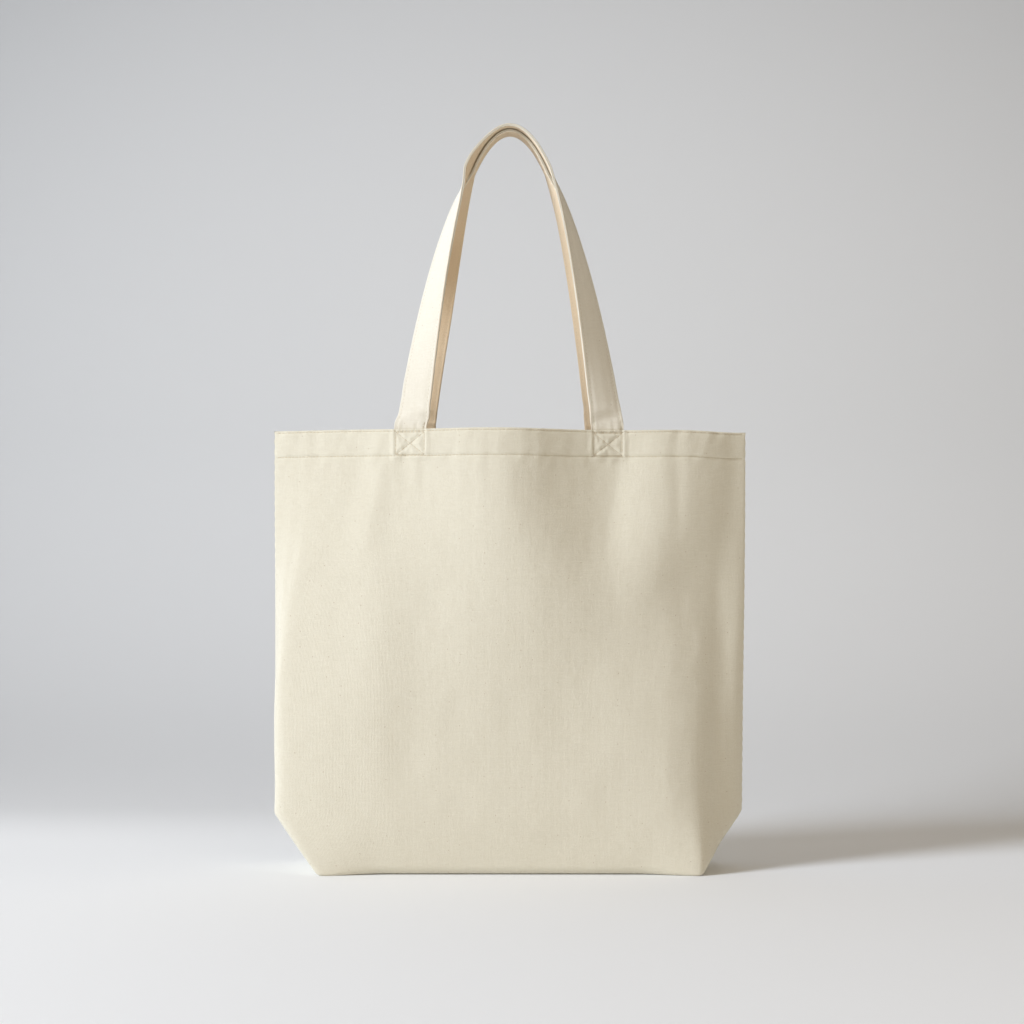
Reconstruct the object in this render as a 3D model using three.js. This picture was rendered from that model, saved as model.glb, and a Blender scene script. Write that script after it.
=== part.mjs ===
// A plain canvas tote bag standing open on its boxed base, with two strap handles held up over the mouth.
// Millimetres, +Z up, +X to the right, the front of the bag faces -Y. The origin is the middle of the base.
import * as THREE from "three";

// ---------------------------------------------------------------- driving dimensions

// Base: a flat rectangle that the front and the back panel share half and half.
const BASE_HALF_LENGTH = 167;
const BASE_HALF_DEPTH = 50;

// Each panel reaches round the base corners to the side seams, so it is this wide from its middle to a seam.
const PANEL_HALF_WIDTH = BASE_HALF_LENGTH + BASE_HALF_DEPTH;

// The sides lean out from the base up to a crease, and are folded into a ridge along the seam above it.
const CREASE_HALF_WIDTH = 207;
const CREASE_HEIGHT = 52.5;

// The mouth is a lens: two shallow arcs that meet at the side seams.
const MOUTH_HALF_WIDTH = 210;
const MOUTH_HALF_DEPTH = 36;
const BAG_HEIGHT = 385;

// The walls between base and mouth.
const SIDE_FOLD_DEPTH = 30;
const MIDDLE_DEPTH = 45;
const MIDDLE_HEIGHT = 200;
const LENS_START_HEIGHT = 130;
const CORNER_SOFTNESS = 16;
const CORNER_SOFT_HEIGHT = 120;

// Cloth.
const CANVAS_THICKNESS = 1.0;
const HEM_HEIGHT = 25;
const HEM_THICKNESS = 2.2;
const HEM_STEP = 0.6;
const SEAM_GAP = 0.3;

// Seam allowances inside the bag: both layers, oversewn together.
const ALLOWANCE_WIDTH = 10;
const ALLOWANCE_THICKNESS = 2;

// Handles: a folded canvas strap, sewn flat to the inside of the hem.
const STRAP_WIDTH = 30;
const STRAP_THICKNESS = 2.2;
const HANDLE_FOOT_X = 86;
const HANDLE_APEX_HEIGHT = 656;
const ARCH_ROUNDNESS = 50;
const BACK_ARCH_INSET = 4.4;
const APEX_OFFSET_Y = 6;
const STRAP_END_ABOVE_HEM = 1;
const LOOP_START_ABOVE_HEM = 5;
const STRAIGHT_TOP_DROP = 40;

// Threads.
const THREAD_WIDTH = 0.5;
const THREAD_THICKNESS = 0.4;
const TOP_ROW_DROP = 1.8;
const LOWER_ROW_DROP = 23.2;
const BOX_STITCH_TOP_DROP = 2.8;
const BOX_STITCH_BOTTOM_DROP = 22.2;
const BOX_STITCH_WIDTH = 26;
const STRAP_STITCH_INSET = 3;
const STRAP_THREAD_GAP = 0.5;

// ---------------------------------------------------------------- materials

const canvas = new THREE.MeshStandardMaterial({ color: 0xe6ddc8, roughness: 0.9, metalness: 0 });
const strapCanvas = new THREE.MeshStandardMaterial({ color: 0xe8e1d0, roughness: 0.9, metalness: 0 });
const thread = new THREE.MeshStandardMaterial({ color: 0xd9cfb6, roughness: 0.8, metalness: 0 });

const bag = new THREE.Group();

function addMesh(name, geometry, material) {
  const mesh = new THREE.Mesh(geometry, material);
  mesh.name = name;
  bag.add(mesh);
  return mesh;
}

// ---------------------------------------------------------------- the shape of the walls

const lerp = THREE.MathUtils.lerp;
const smoothstep = THREE.MathUtils.smoothstep;

// The seam that runs up the middle of a side.
function seamX(z) {
  if (z < CREASE_HEIGHT) {
    return lerp(BASE_HALF_LENGTH, CREASE_HALF_WIDTH, z / CREASE_HEIGHT);
  }
  return lerp(CREASE_HALF_WIDTH, MOUTH_HALF_WIDTH, (z - CREASE_HEIGHT) / (BAG_HEIGHT - CREASE_HEIGHT));
}

// Half of the front wall's outline at height z, from its middle (a = 0) to the seam, with sharp folds.
function sharpOutline(a, z) {
  const rise = Math.min(z / CREASE_HEIGHT, 1);
  const foldDepth = lerp(BASE_HALF_DEPTH, SIDE_FOLD_DEPTH, rise);
  const middleDepth = lerp(BASE_HALF_DEPTH, MIDDLE_DEPTH, smoothstep(z, 0, MIDDLE_HEIGHT));
  const bulge = middleDepth - foldDepth;
  const creaseA = lerp(BASE_HALF_LENGTH, PANEL_HALF_WIDTH, rise);
  const sideDepth = lerp(BASE_HALF_DEPTH, 0, rise);
  const box = new THREE.Vector2();
  if (a <= BASE_HALF_LENGTH) {
    box.set(a, -foldDepth - bulge * (1 - (a / BASE_HALF_LENGTH) ** 2));
  } else if (a < creaseA) {
    const t = (a - BASE_HALF_LENGTH) / (creaseA - BASE_HALF_LENGTH);
    box.set(lerp(BASE_HALF_LENGTH, seamX(z), t), -lerp(foldDepth, sideDepth, t));
  } else {
    box.set(seamX(z), -(PANEL_HALF_WIDTH - a));
  }
  const share = a / PANEL_HALF_WIDTH;
  const lens = new THREE.Vector2(share * MOUTH_HALF_WIDTH, -MOUTH_HALF_DEPTH * (1 - share ** 2));
  return box.lerp(lens, smoothstep(z, LENS_START_HEIGHT, BAG_HEIGHT));
}

// The front wall's outline at height z and cloth distance a from the panel's middle, folds softened.
function outline(a, z) {
  const distance = Math.abs(a);
  const softness = CORNER_SOFTNESS * smoothstep(z, CREASE_HEIGHT, CORNER_SOFT_HEIGHT);
  const reach = Math.min(softness, PANEL_HALF_WIDTH - distance);
  const point = sharpOutline(distance, z).multiplyScalar(2);
  const before = sharpOutline(Math.abs(distance - reach), z);
  before.x *= distance < reach ? -1 : 1;
  point.add(before);
  point.add(sharpOutline(distance + reach, z)).multiplyScalar(0.25);
  point.x *= Math.sign(a);
  return point;
}

// The direction square to the wall, pointing out of the bag.
function outward(a, z) {
  const step = 0.5;
  const before = outline(Math.max(a - step, -PANEL_HALF_WIDTH), z);
  const after = outline(Math.min(a + step, PANEL_HALF_WIDTH), z);
  const along = after.sub(before).normalize();
  return new THREE.Vector2(along.y, -along.x);
}

// A point on the front wall, moved out of the bag by depth (into it if negative), kept on its side of the seam.
function wallPoint(a, z, depth) {
  const point = outline(a, z).addScaledVector(outward(a, z), depth);
  return new THREE.Vector3(point.x, Math.min(point.y, -SEAM_GAP / 2), z);
}

// ---------------------------------------------------------------- building closed solids

function solid(points, triangles) {
  const geometry = new THREE.BufferGeometry();
  geometry.setAttribute("position", new THREE.Float32BufferAttribute(points.flatMap((p) => p.toArray()), 3));
  geometry.setIndex(triangles);
  return geometry;
}

// A sweep: rings of the same number of points, closed at both ends.
function sweep(rings) {
  const size = rings[0].length;
  const triangles = [];
  for (let i = 0; i + 1 < rings.length; i += 1) {
    for (let k = 0; k < size; k += 1) {
      const a = i * size + k;
      const b = i * size + ((k + 1) % size);
      triangles.push(a, b, b + size, a, b + size, a + size);
    }
  }
  const last = (rings.length - 1) * size;
  for (let k = 1; k + 1 < size; k += 1) {
    triangles.push(0, k + 1, k);
    triangles.push(last, last + k, last + k + 1);
  }
  return solid(rings.flat(), triangles);
}

// A sheet with thickness: a grid of cells, some of them absent, with an outer and an inner face.
// A cell is split along its rising diagonal where foldsRight says so, else along its falling one.
function thickSheet(columns, rows, hasCell, foldsRight, outer, inner) {
  const points = [];
  for (let j = 0; j < rows; j += 1) {
    for (let i = 0; i < columns; i += 1) {
      points.push(outer(i, j), inner(i, j));
    }
  }
  const outerIndex = (i, j) => 2 * (j * columns + i);
  const triangles = [];
  const quad = (a, b, c, d) => triangles.push(a, b, c, a, c, d);
  const edge = (from, to) => quad(from, from + 1, to + 1, to);
  for (let j = 0; j + 1 < rows; j += 1) {
    for (let i = 0; i + 1 < columns; i += 1) {
      if (!hasCell(i, j)) continue;
      const [p, q] = [outerIndex(i, j), outerIndex(i + 1, j)];
      const [r, s] = [outerIndex(i + 1, j + 1), outerIndex(i, j + 1)];
      if (foldsRight(i)) {
        quad(p, q, r, s);
        quad(p + 1, s + 1, r + 1, q + 1);
      } else {
        quad(q, r, s, p);
        quad(q + 1, p + 1, s + 1, r + 1);
      }
      if (!hasCell(i, j - 1)) edge(p, q);
      if (!hasCell(i + 1, j)) edge(q, r);
      if (!hasCell(i, j + 1)) edge(r, s);
      if (!hasCell(i - 1, j)) edge(s, p);
    }
  }
  return compact(points, triangles);
}

// Drops the points that no triangle uses.
function compact(points, triangles) {
  const place = new Map();
  for (const index of triangles) {
    if (!place.has(index)) place.set(index, place.size);
  }
  const kept = [...place.keys()].map((index) => points[index]);
  return solid(kept, triangles.map((index) => place.get(index)));
}

// Turns a piece of the front into the same piece of the back.
function mirrored(geometry) {
  const copy = geometry.clone();
  copy.scale(1, -1, 1);
  const index = Array.from(copy.index.array);
  for (let k = 0; k < index.length; k += 3) {
    [index[k], index[k + 1]] = [index[k + 1], index[k]];
  }
  copy.setIndex(index);
  return copy;
}

// ---------------------------------------------------------------- panels

// Half of the base and one wall, one cut piece of canvas, with its top edge folded in as a hem.
function panel() {
  const baseEnd = BASE_HALF_LENGTH - CANVAS_THICKNESS - SEAM_GAP;
  const half = [0, 20, 40, 60, 80, 100, 120, 138, 152, baseEnd];
  const sideSteps = [0, 0.25, 0.5, 0.75, 1];
  half.push(...sideSteps.map((share) => BASE_HALF_LENGTH + share * BASE_HALF_DEPTH));
  const columns = [...half.slice(1).reverse().map((a) => -a), ...half];
  const baseRows = [0, 0.5, 1];
  const hemFoot = BAG_HEIGHT - HEM_HEIGHT;
  const walls = sideSteps.map((share) => share * CREASE_HEIGHT);
  walls.push(80, 120, 165, 210, 255, 300, 335, hemFoot, hemFoot + HEM_STEP, BAG_HEIGHT);
  const firstWall = baseRows.length - 1;
  const rows = firstWall + walls.length;

  const isBase = (j) => j < firstWall;
  const hasCell = (i, j) => {
    if (i < 0 || j < 0 || i >= columns.length - 1 || j >= rows - 1) return false;
    const reach = Math.max(Math.abs(columns[i]), Math.abs(columns[i + 1]));
    return !isBase(j) || reach <= baseEnd;
  };
  const basePoint = (i, j, z) =>
    new THREE.Vector3(columns[i], -lerp(SEAM_GAP / 2, BASE_HALF_DEPTH, baseRows[j]), z);
  const outer = (i, j) => {
    if (isBase(j)) return basePoint(i, j, 0);
    return wallPoint(columns[i], walls[j - firstWall], 0);
  };
  const inner = (i, j) => {
    if (isBase(j)) return basePoint(i, j, CANVAS_THICKNESS);
    const z = walls[j - firstWall];
    const thickness = z > hemFoot ? HEM_THICKNESS : CANVAS_THICKNESS;
    const point = wallPoint(columns[i], z, -thickness);
    point.z = Math.max(point.z, CANVAS_THICKNESS);
    return point;
  };
  return thickSheet(columns.length, rows, hasCell, (i) => columns[i] >= 0, outer, inner);
}

const frontPanel = panel();
addMesh("front_panel", frontPanel, canvas);
addMesh("back_panel", mirrored(frontPanel), canvas);

// ---------------------------------------------------------------- seam allowances inside

// The side seam stands in from the corner of the bag as a thin flap, thinner towards the corner.
function sideSeam(side) {
  const section = [
    [-5, 0.2],
    [-9, ALLOWANCE_THICKNESS / 2],
    [-4 - ALLOWANCE_WIDTH, ALLOWANCE_THICKNESS / 2],
    [-4 - ALLOWANCE_WIDTH, -ALLOWANCE_THICKNESS / 2],
    [-9, -ALLOWANCE_THICKNESS / 2],
    [-5, -0.2],
  ];
  const ordered = side > 0 ? section : [...section].reverse();
  const top = BAG_HEIGHT - HEM_HEIGHT - 2 * SEAM_GAP;
  const heights = [2 * ALLOWANCE_THICKNESS + 1, 20, CREASE_HEIGHT, 120, 200, 280, top];
  return sweep(heights.map((z) => ordered.map(([dx, y]) => new THREE.Vector3(side * (seamX(z) + dx), y, z))));
}

// The flaps of the base lie flat on it.
function flatAllowance(centreX, centreY, sizeX, sizeY) {
  const box = new THREE.BoxGeometry(sizeX, sizeY, ALLOWANCE_THICKNESS);
  box.translate(centreX, centreY, CANVAS_THICKNESS + SEAM_GAP + ALLOWANCE_THICKNESS / 2);
  return box;
}

const cornerSeamX = BASE_HALF_LENGTH - CANVAS_THICKNESS - SEAM_GAP - ALLOWANCE_WIDTH / 2 - 1;
const bottomSeamLength = 2 * (cornerSeamX - ALLOWANCE_WIDTH / 2 - 1);
const cornerSeamLength = 2 * (BASE_HALF_DEPTH - 4);

for (const [side, word] of [[-1, "left"], [1, "right"]]) {
  addMesh(`${word}_side_seam`, sideSeam(side), canvas);
  const corner = flatAllowance(side * cornerSeamX, 0, ALLOWANCE_WIDTH, cornerSeamLength);
  addMesh(`${word}_corner_seam`, corner, canvas);
}
addMesh("bottom_seam", flatAllowance(0, ALLOWANCE_WIDTH / 2, bottomSeamLength, ALLOWANCE_WIDTH), canvas);

// ---------------------------------------------------------------- hem threads

// One row of thread along the outside of the front hem.
function hemThread(drop) {
  const reach = PANEL_HALF_WIDTH - 3;
  const steps = 28;
  const low = BAG_HEIGHT - drop - THREAD_WIDTH / 2;
  const rings = [];
  for (let i = 0; i <= steps; i += 1) {
    const a = lerp(-reach, reach, i / steps);
    const [near, far] = [SEAM_GAP, SEAM_GAP + THREAD_THICKNESS];
    const high = low + THREAD_WIDTH;
    rings.push([
      wallPoint(a, low, near),
      wallPoint(a, high, near),
      wallPoint(a, high, far),
      wallPoint(a, low, far),
    ]);
  }
  return sweep(rings);
}

for (const [word, drop] of [["top", TOP_ROW_DROP], ["lower", LOWER_ROW_DROP]]) {
  const row = hemThread(drop);
  addMesh(`front_hem_${word}_stitch`, row, thread);
  addMesh(`back_hem_${word}_stitch`, mirrored(row), thread);
}

// ---------------------------------------------------------------- sewn-in handle ends and their box stitches

// A square of thread with a cross in it, in the XY plane, THREAD_THICKNESS thick.
function boxAndCross(width, height) {
  const [w, h, t] = [width / 2, height / 2, THREAD_WIDTH];
  const shape = new THREE.Shape();
  shape.moveTo(-w, -h).lineTo(w, -h).lineTo(w, h).lineTo(-w, h).closePath();
  const slant = Math.hypot(width, height);
  const [spanX, spanY] = [(t * slant) / height / 2, (t * slant) / width / 2];
  const left = [[-w + t, -h + t + spanY], [-spanX, 0], [-w + t, h - t - spanY]];
  const low = [[-w + t + spanX, -h + t], [w - t - spanX, -h + t], [0, -spanY]];
  for (const [corners, mirror] of [[left, [-1, 1]], [low, [1, -1]]]) {
    for (const sign of [[1, 1], mirror]) {
      const points = corners.map(([x, y]) => new THREE.Vector2(x * sign[0], y * sign[1]));
      shape.holes.push(new THREE.Path(points));
    }
  }
  return new THREE.ExtrudeGeometry(shape, { depth: THREAD_THICKNESS, bevelEnabled: false });
}

// Places a geometry that faces +Z, with its top towards +Y, on the hem at cloth distance a, facing outward.
function onHem(geometry, a, z, depth) {
  const facing = outward(a, z);
  const place = wallPoint(a, z, depth);
  geometry.rotateX(Math.PI / 2);
  geometry.rotateZ(Math.atan2(facing.x, -facing.y));
  geometry.translate(place.x, place.y, place.z);
  return geometry;
}

// The cloth distance at which the hem passes the foot of a handle.
function clothDistance(x) {
  return (x / MOUTH_HALF_WIDTH) * PANEL_HALF_WIDTH;
}

function handleEnd(x) {
  const height = HEM_HEIGHT - HEM_STEP + STRAP_END_ABOVE_HEM - 1;
  const middle = BAG_HEIGHT + STRAP_END_ABOVE_HEM - height / 2;
  const end = new THREE.BoxGeometry(STRAP_WIDTH, height, STRAP_THICKNESS);
  const bow = 0.2;
  return onHem(end, clothDistance(x), middle, -HEM_THICKNESS - SEAM_GAP - bow - STRAP_THICKNESS / 2);
}

function boxStitch(x) {
  const height = BOX_STITCH_BOTTOM_DROP - BOX_STITCH_TOP_DROP;
  const middle = BAG_HEIGHT - (BOX_STITCH_BOTTOM_DROP + BOX_STITCH_TOP_DROP) / 2;
  const stitch = boxAndCross(BOX_STITCH_WIDTH, height);
  return onHem(stitch, clothDistance(x), middle, SEAM_GAP);
}

function indexed(geometry) {
  if (!geometry.index) {
    geometry.setIndex([...Array(geometry.attributes.position.count).keys()]);
  }
  return geometry;
}

for (const [side, word] of [[-1, "left"], [1, "right"]]) {
  const frontX = side * HANDLE_FOOT_X;
  const backX = side * (HANDLE_FOOT_X - BACK_ARCH_INSET);
  addMesh(`front_${word}_handle_end`, handleEnd(frontX), strapCanvas);
  addMesh(`back_${word}_handle_end`, mirrored(handleEnd(backX)), strapCanvas);
  addMesh(`front_${word}_box_stitch`, boxStitch(frontX), thread);
  addMesh(`back_${word}_box_stitch`, mirrored(indexed(boxStitch(backX))), thread);
}

// ---------------------------------------------------------------- handle loops

const archHeight = HANDLE_APEX_HEIGHT - BAG_HEIGHT;
const archScale = archHeight / (Math.cosh(HANDLE_FOOT_X / ARCH_ROUNDNESS) - 1);
const footY = -wallPoint(clothDistance(HANDLE_FOOT_X), BAG_HEIGHT, -HEM_THICKNESS).y
  - SEAM_GAP - STRAP_THICKNESS / 2;

// The line down the middle of a handle: an arch like a hanging chain turned over, which leans from the
// hem in over the mouth. The back handle's arch lies inside the front one's.
function archPoint(x, side, inset) {
  const slope = (archScale / ARCH_ROUNDNESS) * Math.sinh(x / ARCH_ROUNDNESS);
  const length = Math.hypot(1, slope);
  const drop = archScale * (Math.cosh(x / ARCH_ROUNDNESS) - 1);
  const y = side * lerp(APEX_OFFSET_Y, footY, (x / HANDLE_FOOT_X) ** 2);
  const height = HANDLE_APEX_HEIGHT - drop - inset / length;
  return new THREE.Vector3(x - (inset * slope) / length, y, height);
}

// How far the strap has turned about its own line, from lying across the top to flat against the hem.
function twist(height) {
  const drop = Math.max(HANDLE_APEX_HEIGHT - STRAIGHT_TOP_DROP - height, 0);
  const share = drop / (archHeight - STRAIGHT_TOP_DROP);
  return (Math.PI / 2) * Math.min(0.7 * share ** 0.8 + 0.3 * share ** 7, 1);
}

// The strap's frame at share u of its length: where it is, out of its outer face, and across its width.
function strapFrame(curve, u, side) {
  const place = curve.getPointAt(u);
  const along = curve.getTangentAt(u);
  const out = new THREE.Vector3().crossVectors(along, new THREE.Vector3(0, 1, 0)).normalize();
  const across = new THREE.Vector3().crossVectors(out, along).normalize();
  const turn = twist(place.z);
  const face = out.clone().multiplyScalar(Math.cos(turn)).addScaledVector(across, side * Math.sin(turn));
  const width = across.multiplyScalar(Math.cos(turn)).addScaledVector(out, -side * Math.sin(turn));
  return { place, face, width };
}

function archCurve(side, inset) {
  const lowest = BAG_HEIGHT + LOOP_START_ABOVE_HEM;
  const points = [];
  for (let k = -60; k <= 60; k += 1) {
    const point = archPoint((k / 60) * HANDLE_FOOT_X, side, inset);
    if (point.z >= lowest) points.push(point);
  }
  return new THREE.CatmullRomCurve3(points);
}

// A band along the strap: low and high are its faces from the strap's middle layer, from and to its edges.
function band(curve, side, low, high, from, to) {
  const steps = 64;
  const rings = [];
  for (let i = 0; i <= steps; i += 1) {
    const { place, face, width } = strapFrame(curve, i / steps, side);
    const corner = (across, up) => place.clone().addScaledVector(width, across).addScaledVector(face, up);
    rings.push([corner(from, low), corner(to, low), corner(to, high), corner(from, high)]);
  }
  return sweep(rings);
}

for (const [side, word, inset] of [[-1, "front", 0], [1, "back", BACK_ARCH_INSET]]) {
  const curve = archCurve(side, inset);
  const face = STRAP_THICKNESS / 2;
  addMesh(`${word}_handle`, band(curve, side, -face, face, -STRAP_WIDTH / 2, STRAP_WIDTH / 2), strapCanvas);
  const threadLow = face + STRAP_THREAD_GAP;
  const line = STRAP_WIDTH / 2 - STRAP_STITCH_INSET;
  for (const [edge, edgeWord] of [[-1, "inner"], [1, "outer"]]) {
    const from = edge * line - THREAD_WIDTH / 2;
    const row = band(curve, side, threadLow, threadLow + THREAD_THICKNESS, from, from + THREAD_WIDTH);
    addMesh(`${word}_handle_${edgeWord}_edge_stitch`, row, thread);
  }
}

export default bag;
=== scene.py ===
"""A plain canvas tote bag with two strap handles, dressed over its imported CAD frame.

Shapes are worked out in millimetres, in the CAD frame: +X right, +Z up, the front of the bag faces -Y.
A place on a panel is (a, z): a is the distance along the cloth from the panel's middle, z the height.
"""

import math

import bpy
import numpy as np
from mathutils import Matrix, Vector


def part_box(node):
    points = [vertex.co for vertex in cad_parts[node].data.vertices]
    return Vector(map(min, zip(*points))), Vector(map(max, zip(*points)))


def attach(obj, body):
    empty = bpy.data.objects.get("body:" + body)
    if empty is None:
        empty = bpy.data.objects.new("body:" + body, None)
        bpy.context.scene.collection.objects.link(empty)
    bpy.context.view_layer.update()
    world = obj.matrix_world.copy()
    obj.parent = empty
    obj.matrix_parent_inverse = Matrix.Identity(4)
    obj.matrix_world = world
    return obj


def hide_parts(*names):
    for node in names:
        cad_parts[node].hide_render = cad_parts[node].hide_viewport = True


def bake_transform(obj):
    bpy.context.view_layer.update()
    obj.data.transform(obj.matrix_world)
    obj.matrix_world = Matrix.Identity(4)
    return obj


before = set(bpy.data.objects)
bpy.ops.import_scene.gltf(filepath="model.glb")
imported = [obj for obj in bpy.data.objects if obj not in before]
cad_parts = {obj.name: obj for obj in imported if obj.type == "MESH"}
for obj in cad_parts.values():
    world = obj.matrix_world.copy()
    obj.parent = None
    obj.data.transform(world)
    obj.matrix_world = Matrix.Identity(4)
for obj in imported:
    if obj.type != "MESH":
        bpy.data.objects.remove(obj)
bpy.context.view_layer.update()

MM = 0.001
FRONT, BACK = -1, 1
WORDS = {FRONT: "front", BACK: "back"}
SIDES = ((-1, "left"), (1, "right"))

# ---------------------------------------------------------------- dimensions of the CAD part

BASE_HALF_LENGTH = 167
BASE_HALF_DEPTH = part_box("front_panel")[0].y / -MM
PANEL_HALF_WIDTH = BASE_HALF_LENGTH + BASE_HALF_DEPTH
CREASE_HALF_WIDTH = 207
CREASE_HEIGHT = 52.5
MOUTH_HALF_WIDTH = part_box("front_panel")[1].x / MM
MOUTH_HALF_DEPTH = 36
BAG_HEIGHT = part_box("front_panel")[1].z / MM
SIDE_FOLD_DEPTH = 30
MIDDLE_DEPTH = 45
MIDDLE_HEIGHT = 200
LENS_START_HEIGHT = 130
CORNER_SOFT_HEIGHT = 75
HEM_HEIGHT = 25
SEAM_GAP = 0.3
STRAP_WIDTH = 30
STRAP_THICKNESS = 2.2
HANDLE_FOOT_X = 86
HANDLE_APEX_HEIGHT = 656
ARCH_ROUNDNESS = 50
BACK_ARCH_INSET = 4.4
APEX_OFFSET_Y = 6
STRAIGHT_TOP_DROP = 40
TOP_ROW_DROP = 1.8
LOWER_ROW_DROP = 23.2
BOX_STITCH_TOP_DROP = 2.8
BOX_STITCH_BOTTOM_DROP = 22.2
BOX_STITCH_WIDTH = 26
STRAP_STITCH_INSET = 3
FOOT_Y = 26.35

# ---------------------------------------------------------------- dimensions of the cloth itself

CANVAS_THICKNESS = 0.9
HEM_THICKNESS = 2.2
SEAM_ROLL_DEPTH = 1.2
SEAM_ROLL_WIDTH = 4.0
SEAM_ROLL_PERIOD = 9

# The fold between base and wall, tighter towards the corners.
FOLD_RADIUS = 9
CORNER_FOLD_RADIUS = 2.5

# How far along the cloth the fold of a corner is spread, at its foot and above CORNER_SOFT_HEIGHT.
LEAST_CORNER_SOFTNESS = 6
LEFT_CORNER_SOFTNESS = 48
RIGHT_CORNER_SOFTNESS = 32
FILLED_SOFTNESS = 18
SOFTENING_TAPS = 11

# The walls lean in up to this height.
FRONT_LEAN_HEIGHT = 260

# The lower left side is filled out: from the first place on the cloth to the corner it runs on almost flat.
FILL_START_A = 100
FILLED_CORNER_A = 185
FILLED_CORNER_RETREAT = 10

# The right half of the front falls back, and the foot of the front is drawn in between the corners.
RIGHT_RETREAT = 6
FOOT_DRAW = 6
FOOT_DRAW_HEIGHT = 65

# Folds of the cloth: foot, head, (spread to the left, to the right), height, how blunt the ends are.
FRONT_FOLDS = (
    ((80, 270), (105, 400), (38, 18), -4.5, 45),
    ((122, 240), (141, 400), (26, 22), 5.0, 45),
    ((152, 275), (176, 400), (24, 34), 5.5, 40),
    ((134, 20), (134, 245), (60, 18), 2.6, 50),
    ((-112, 150), (-114, 350), (22, 34), 2.6, 60),
    ((-130, 275), (-106, 400), (16, 12), 1.8, 30),
    ((-88, 80), (-84, 235), (28, 36), -2.2, 50),
    ((150, 300), (150, 392), (6, 6), -0.9, 30),
)
BACK_FOLDS = (
    ((-30, 250), (-50, 400), (30, 34), -3.5, 45),
    ((95, 260), (80, 400), (22, 20), 2.2, 40),
    ((-140, 200), (-120, 390), (16, 18), 2.0, 30),
    ((120, 100), (100, 280), (30, 26), -1.8, 60),
)

# Handles.
STRAP_END_HEIGHT = BAG_HEIGHT - HEM_HEIGHT + 1.6
STRAP_EDGE_RADIUS = 0.9
STRAP_INNER_FACE_MIDDLE = 44.9
BACK_STRAP_INSET = 3.0
SHOULDER_CURL = 12
SHOULDER_HEIGHT = 622

# Threads.
STITCH_PITCH = 3.3
STITCH_LENGTH = 3.0
THREAD_RADIUS = 0.32
BOX_THREAD_RADIUS = 0.3
EDGE_THREAD_RADIUS = 0.2
OVERLOCK_THREAD_RADIUS = 0.2
OVERLOCK_PERIOD = 2.6
OVERLOCK_DISTANCE = 9.6

# ---------------------------------------------------------------- small mathematics


def mix(low, high, share):
    return low + (high - low) * share


def smooth(x, low, high):
    t = np.clip((x - low) / (high - low), 0, 1)
    return t * t * (3 - 2 * t)


def bell(x, middle, width):
    return np.exp(-(((x - middle) / width) ** 2))


def noise(u, v, seed):
    """Smooth random values from -1 to 1, one swell per unit of u and v."""
    u, v = np.broadcast_arrays(np.asarray(u, float), np.asarray(v, float))
    lattice = np.random.default_rng(seed).uniform(-1, 1, (64, 64))
    i, j = np.floor(u).astype(int), np.floor(v).astype(int)
    fu, fv = u - i, v - j
    su, sv = (t * t * t * (t * (6 * t - 15) + 10) for t in (fu, fv))
    at = lambda di, dj: lattice[(i + di) % 64, (j + dj) % 64]
    low = mix(at(0, 0), at(1, 0), su)
    high = mix(at(0, 1), at(1, 1), su)
    return mix(low, high, sv)


def unit(vectors):
    return vectors / np.maximum(np.linalg.norm(vectors, axis=-1, keepdims=True), 1e-12)


# ---------------------------------------------------------------- the shape of the walls


def seam_x(z):
    """The seam that runs up the middle of a side."""
    below = mix(BASE_HALF_LENGTH, CREASE_HALF_WIDTH, z / CREASE_HEIGHT)
    above = mix(CREASE_HALF_WIDTH, MOUTH_HALF_WIDTH, (z - CREASE_HEIGHT) / (BAG_HEIGHT - CREASE_HEIGHT))
    return np.where(z < CREASE_HEIGHT, below, above)


def sharp_outline(a, z, filled):
    """Half of the front wall's outline, a box that turns into a lens towards the mouth.
    Where it is filled, the front runs on almost flat up to the edge of the bag."""
    rise = np.minimum(z / CREASE_HEIGHT, 1)
    fold_depth = mix(BASE_HALF_DEPTH, SIDE_FOLD_DEPTH, smooth(z, -10, FRONT_LEAN_HEIGHT))
    middle_depth = mix(BASE_HALF_DEPTH, MIDDLE_DEPTH, smooth(z, 0, MIDDLE_HEIGHT))
    crease_a = mix(BASE_HALF_LENGTH, PANEL_HALF_WIDTH, rise)
    side_depth = mix(BASE_HALF_DEPTH, 0, rise)
    on_front = a <= BASE_HALF_LENGTH
    front_y = -fold_depth - (middle_depth - fold_depth) * (1 - (a / BASE_HALF_LENGTH) ** 2)
    turn = np.clip((a - BASE_HALF_LENGTH) / np.maximum(crease_a - BASE_HALF_LENGTH, 1e-6), 0, 1)
    turn_x = mix(BASE_HALF_LENGTH, seam_x(z), turn)
    turn_y = -mix(fold_depth, side_depth, turn)
    x = np.where(on_front, a, np.where(a < crease_a, turn_x, seam_x(z)))
    y = np.where(on_front, front_y, np.where(a < crease_a, turn_y, a - PANEL_HALF_WIDTH))
    corner_a = mix(BASE_HALF_LENGTH, FILLED_CORNER_A, rise)
    corner_y = -fold_depth + FILLED_CORNER_RETREAT * rise
    to_corner = np.clip((a - FILL_START_A) / (corner_a - FILL_START_A), 0, 1)
    to_seam = np.clip((a - corner_a) / (PANEL_HALF_WIDTH - corner_a), 0, 1)
    full_x = np.where(a < FILL_START_A, a, mix(FILL_START_A, seam_x(z), to_corner))
    full_y = mix(np.where(on_front, front_y, -fold_depth), corner_y, to_corner**2) * (1 - to_seam)
    x = mix(x, full_x, filled)
    y = mix(y, full_y, filled)
    share = a / PANEL_HALF_WIDTH
    to_lens = smooth(z, LENS_START_HEIGHT, BAG_HEIGHT)
    x = mix(x, share * MOUTH_HALF_WIDTH, to_lens)
    y = mix(y, -MOUTH_HALF_DEPTH * (1 - share**2), to_lens)
    return np.stack([x, y], -1)


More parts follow.
